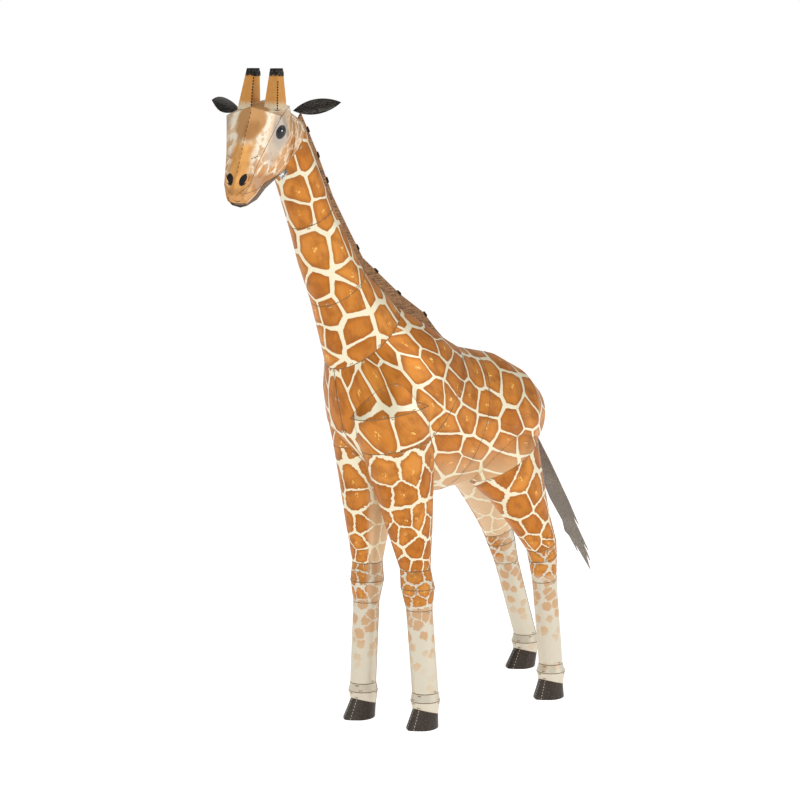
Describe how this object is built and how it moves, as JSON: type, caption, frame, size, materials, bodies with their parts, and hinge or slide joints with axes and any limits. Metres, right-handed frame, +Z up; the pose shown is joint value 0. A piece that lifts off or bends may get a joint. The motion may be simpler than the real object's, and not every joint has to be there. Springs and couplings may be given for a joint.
{
  "type": "folded sheet metal giraffe figure",
  "caption": "Standing giraffe figure built from rolled and folded printed sheet steel segments, with a folded face, leaf ears, square horns, strip mane and cut strip tail.",
  "frame": {"origin": "on the ground under the middle of the figure's bounding box", "axes": "+Z up along the giraffe's height, -Y the way it faces, +X its left side"},
  "size_m": [0.0372, 0.1381, 0.1703],
  "materials": {
    "coat_print": "satin printed sheet steel, orange-brown patches with cream lines",
    "leg_print": "satin printed sheet steel, cream with faint tan patches",
    "face_print": "satin printed sheet steel, brown brow on cream and tan",
    "horn_print": "satin printed sheet steel, tan with dark tips",
    "mane_print": "satin printed sheet steel, brown with fine cross lines",
    "hoof_print": "satin printed sheet steel, speckled near-black",
    "ear_steel": "dark brushed steel with an engraved hair pattern",
    "tail_steel": "grey brushed steel strip with cut points"
  },
  "bodies": {
    "root": {"barrel_left": "coat_print", "barrel_right": "coat_print", "cheek_left": "face_print", "cheek_right": "face_print", "chest_left": "coat_print", "chest_right": "coat_print", "ear_left": "ear_steel", "ear_right": "ear_steel", "face_panel": "face_print", "front_left_cannon": "leg_print", "front_left_fetlock_lower": "leg_print", "front_left_fetlock_upper": "leg_print", "front_left_hoof": "hoof_print", "front_left_knee_lower": "leg_print", "front_left_knee_upper": "leg_print", "front_left_shoulder_lower": "coat_print", "front_left_shoulder_upper": "coat_print", "front_left_upper_leg": "coat_print", "front_right_cannon": "leg_print", "front_right_fetlock_lower": "leg_print", "front_right_fetlock_upper": "leg_print", "front_right_hoof": "hoof_print", "front_right_knee_lower": "leg_print", "front_right_knee_upper": "leg_print", "front_right_shoulder_lower": "coat_print", "front_right_shoulder_upper": "coat_print", "front_right_upper_leg": "coat_print", "hind_left_cannon": "leg_print", "hind_left_fetlock_lower": "leg_print", "hind_left_fetlock_upper": "leg_print", "hind_left_hip": "coat_print", "hind_left_hock_lower": "leg_print", "hind_left_hock_upper": "leg_print", "hind_left_hoof": "hoof_print", "hind_left_thigh": "coat_print", "hind_right_cannon": "leg_print", "hind_right_fetlock_lower": "leg_print", "hind_right_fetlock_upper": "leg_print", "hind_right_hip": "coat_print", "hind_right_hock_lower": "leg_print", "hind_right_hock_upper": "leg_print", "hind_right_hoof": "hoof_print", "hind_right_thigh": "coat_print", "horn_left": "horn_print", "horn_right": "horn_print", "lower_jaw": "face_print", "mane_lower_left": "mane_print", "mane_lower_right": "mane_print", "mane_upper_left": "mane_print", "mane_upper_right": "mane_print", "neck_lower": "coat_print", "neck_middle": "coat_print", "neck_upper": "coat_print", "rump_left": "coat_print", "rump_right": "coat_print", "skull_back": "face_print", "tail": "tail_steel"}
  },
  "joints": []
}
